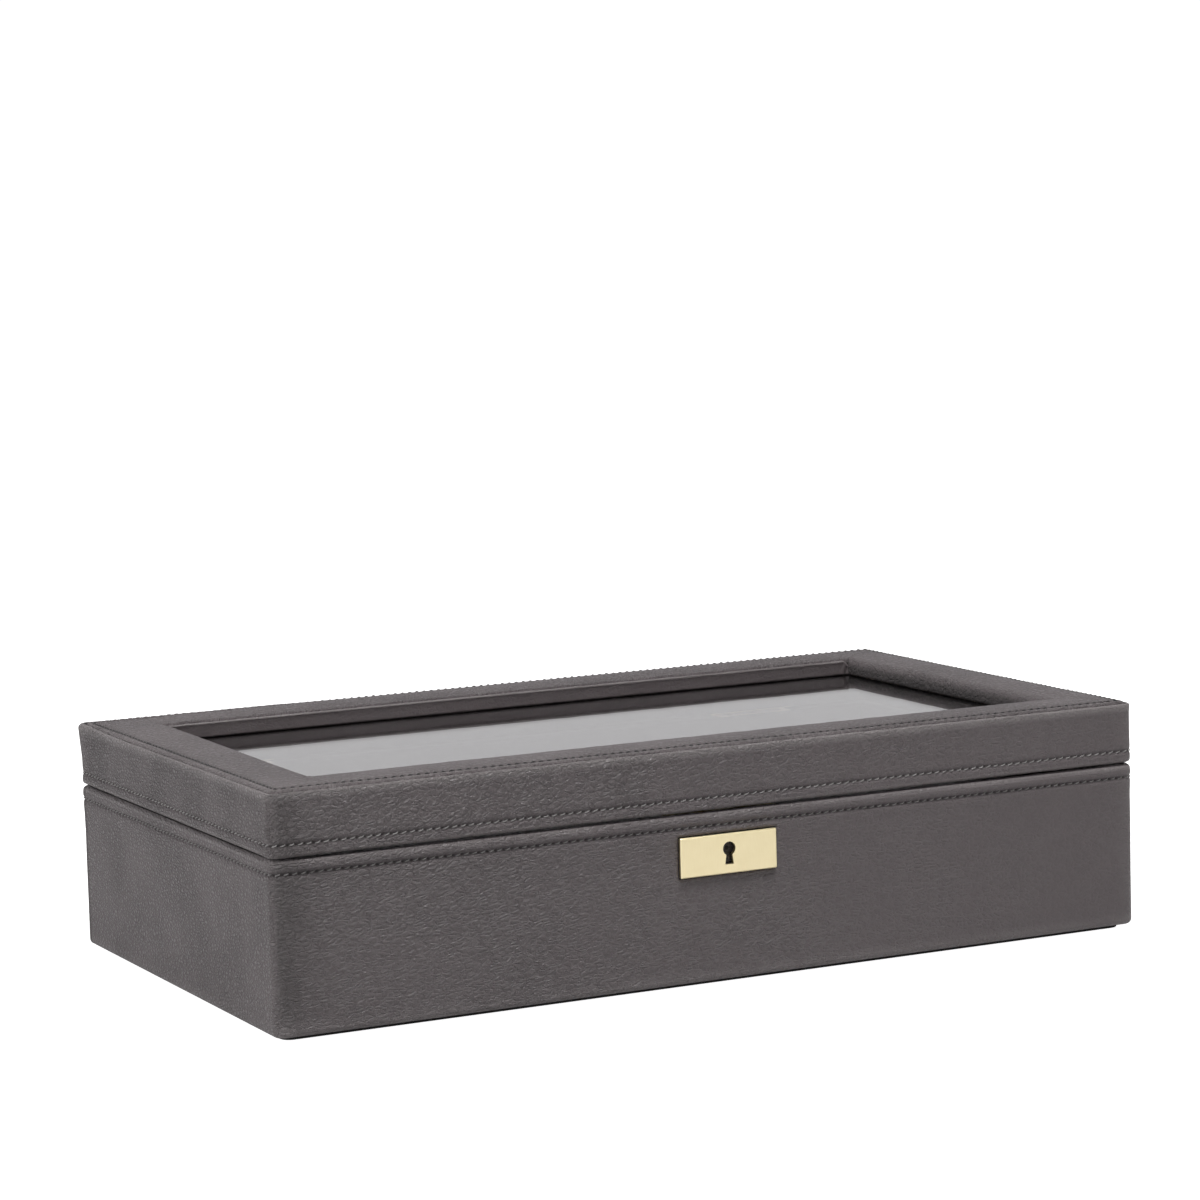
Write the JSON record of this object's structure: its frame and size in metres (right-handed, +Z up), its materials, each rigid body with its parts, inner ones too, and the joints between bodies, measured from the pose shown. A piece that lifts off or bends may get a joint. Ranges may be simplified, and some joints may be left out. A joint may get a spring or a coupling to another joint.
{
  "type": "watch box",
  "caption": "Low leather-covered watch box with a hinged glass-window lid, a brass lock plate with keyhole, and divided velour cells that hold loose watch cushions.",
  "frame": {"origin": "centre of the underside of the base board, on the surface the box stands on", "axes": "+X to the box's right seen from its front, -Y out of the front with the lock plate, +Z up"},
  "size_m": [0.34, 0.1944, 0.085],
  "materials": {
    "leather": "pebble-grained warm grey leather, low sheen",
    "velour": "short-pile velour on card",
    "cushion_velour": "short-pile velour over a soft filling",
    "board": "fibreboard",
    "foam": "thin upholstery foam",
    "base_cloth": "black covered board",
    "satin_brass": "satin pale gold",
    "brass": "satin",
    "steel": "plain",
    "glass": "clear float glass",
    "thread": "tone on tone sewing thread"
  },
  "bodies": {
    "case": {"base_panel": "base_cloth", "bottom_board": "board", "case_leather": "leather", "front_board": "board", "back_board": "board", "left_board": "board", "right_board": "board", "floor_lining": "velour", "wall_lining": "velour", "long_divider": "velour", "cross_divider_1": "velour", "cross_divider_2": "velour", "cross_divider_3": "velour", "cross_divider_4": "velour", "lock_plate": "satin_brass", "lock_case": "steel", "lock_cover": "brass", "key_pin": "steel", "lock_selvedge": "brass", "lock_spring": "steel", "lock_screws": "brass", "left_hinge_case_leaf": "brass", "right_hinge_case_leaf": "brass", "left_hinge_pin": "brass", "right_hinge_pin": "brass", "hinge_case_screws": "brass"},
    "lid": {"lid_side_leather": "leather", "lid_front_board": "board", "lid_back_board": "board", "lid_left_board": "board", "lid_right_board": "board", "frame_rail_front": "board", "frame_rail_back": "board", "frame_rail_left": "board", "frame_rail_right": "board", "frame_padding": "foam", "frame_leather": "leather", "window_leather": "leather", "glass_pane": "glass", "glass_retainer": "velour", "lid_lining": "velour", "strike_plate": "brass", "strike_screws": "brass", "left_hinge_lid_leaf": "brass", "right_hinge_lid_leaf": "brass", "hinge_lid_screws": "brass"},
    "lock_bolt": {"lock_bolt": "steel"},
    "cushion_front_1": {"watch_cushion_front_1": "cushion_velour"},
    "cushion_front_2": {"watch_cushion_front_2": "cushion_velour"},
    "cushion_front_3": {"watch_cushion_front_3": "cushion_velour"},
    "cushion_front_4": {"watch_cushion_front_4": "cushion_velour"},
    "cushion_front_5": {"watch_cushion_front_5": "cushion_velour"},
    "cushion_rear_1": {"watch_cushion_rear_1": "cushion_velour"},
    "cushion_rear_2": {"watch_cushion_rear_2": "cushion_velour"},
    "cushion_rear_3": {"watch_cushion_rear_3": "cushion_velour"},
    "cushion_rear_4": {"watch_cushion_rear_4": "cushion_velour"},
    "cushion_rear_5": {"watch_cushion_rear_5": "cushion_velour"}
  },
  "joints": [
    {"name": "lid_hinge", "type": "hinge", "parent": "case", "child": "lid", "pos_m": [0, 0.0958, 0.0615], "axis": [-1, 0, 0], "range_deg": [0, 95]},
    {"name": "bolt_slide", "type": "slide", "parent": "case", "child": "lock_bolt", "axis": [1, 0, 0], "range_m": [0, 0.0035]},
    {"name": "cushion_front_1_lift", "type": "slide", "parent": "case", "child": "cushion_front_1", "axis": [0, 0, 1], "range_m": [0, 0.018]},
    {"name": "cushion_front_2_lift", "type": "slide", "parent": "case", "child": "cushion_front_2", "axis": [0, 0, 1], "range_m": [0, 0.018]},
    {"name": "cushion_front_3_lift", "type": "slide", "parent": "case", "child": "cushion_front_3", "axis": [0, 0, 1], "range_m": [0, 0.018]},
    {"name": "cushion_front_4_lift", "type": "slide", "parent": "case", "child": "cushion_front_4", "axis": [0, 0, 1], "range_m": [0, 0.018]},
    {"name": "cushion_front_5_lift", "type": "slide", "parent": "case", "child": "cushion_front_5", "axis": [0, 0, 1], "range_m": [0, 0.018]},
    {"name": "cushion_rear_1_lift", "type": "slide", "parent": "case", "child": "cushion_rear_1", "axis": [0, 0, 1], "range_m": [0, 0.018]},
    {"name": "cushion_rear_2_lift", "type": "slide", "parent": "case", "child": "cushion_rear_2", "axis": [0, 0, 1], "range_m": [0, 0.018]},
    {"name": "cushion_rear_3_lift", "type": "slide", "parent": "case", "child": "cushion_rear_3", "axis": [0, 0, 1], "range_m": [0, 0.018]},
    {"name": "cushion_rear_4_lift", "type": "slide", "parent": "case", "child": "cushion_rear_4", "axis": [0, 0, 1], "range_m": [0, 0.018]},
    {"name": "cushion_rear_5_lift", "type": "slide", "parent": "case", "child": "cushion_rear_5", "axis": [0, 0, 1], "range_m": [0, 0.018]}
  ]
}
